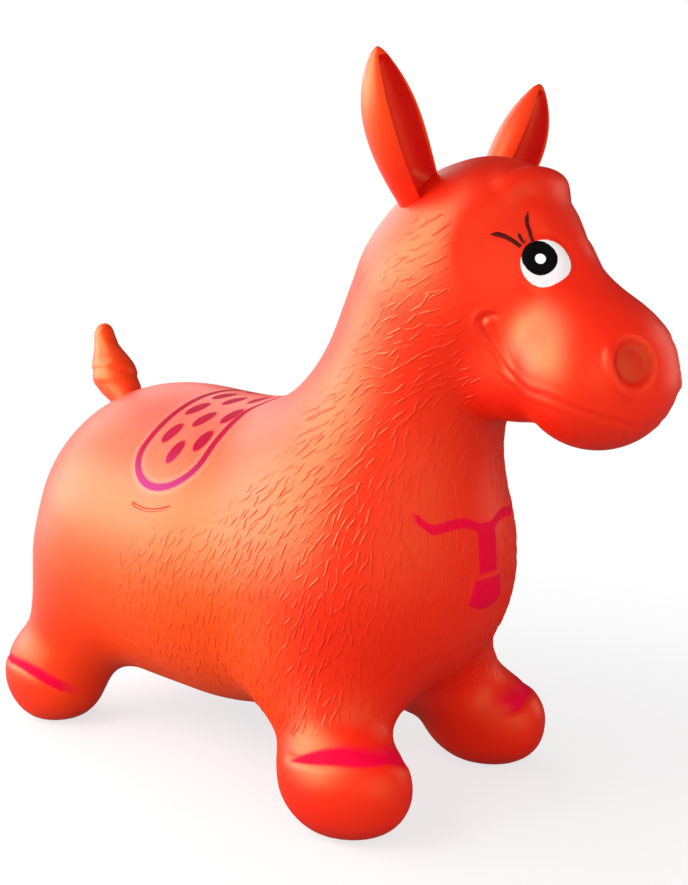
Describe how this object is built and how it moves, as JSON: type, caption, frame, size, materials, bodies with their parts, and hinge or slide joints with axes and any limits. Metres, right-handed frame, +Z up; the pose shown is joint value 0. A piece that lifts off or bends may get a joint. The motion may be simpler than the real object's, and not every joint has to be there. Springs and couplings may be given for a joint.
{
  "type": "bouncy horse hopper",
  "caption": "Inflatable ride-on hopper shaped as a standing horse, with soft ears to hold, a stub tail, splayed legs and a belly valve with a push-in stopper.",
  "frame": {"origin": "on the floor, under the middle of the length and of the width", "axes": "+X towards the nose, +Y towards the horse's left side, +Z up"},
  "size_m": [0.5778, 0.2638, 0.5327],
  "materials": {
    "skin": "satin moulded vinyl",
    "ears": "satin moulded vinyl, scooped face sprayed red",
    "tail": "satin moulded vinyl",
    "valve_seat": "satin moulded vinyl",
    "stopper": "satin"
  },
  "bodies": {
    "body": {"torso_skin": "skin", "neck_skin": "skin", "head_skin": "skin", "front_left_leg": "skin", "front_right_leg": "skin", "rear_left_leg": "skin", "rear_right_leg": "skin", "valve_seat": "valve_seat"},
    "left_ear": {"left_ear": "ears"},
    "right_ear": {"right_ear": "ears"},
    "tail": {"tail": "tail"},
    "valve_stopper": {"valve_stopper": "stopper"}
  },
  "joints": [
    {"name": "left_ear_flex", "type": "hinge", "parent": "body", "child": "left_ear", "pos_m": [0.1252, 0.0514, 0.4353], "axis": [0, 1, 0], "range_deg": [-30, 12], "stiffness_Nm_per_rad": 2},
    {"name": "right_ear_flex", "type": "hinge", "parent": "body", "child": "right_ear", "pos_m": [0.1252, -0.0514, 0.4353], "axis": [0, 1, 0], "range_deg": [-30, 12], "stiffness_Nm_per_rad": 2},
    {"name": "tail_flex", "type": "hinge", "parent": "body", "child": "tail", "pos_m": [-0.2423, 0, 0.267], "axis": [0, 1, 0], "range_deg": [-25, 10], "stiffness_Nm_per_rad": 0.8},
    {"name": "stopper_pull", "type": "slide", "parent": "body", "child": "valve_stopper", "axis": [0, 0, -1], "range_m": [0, 0.024]}
  ]
}
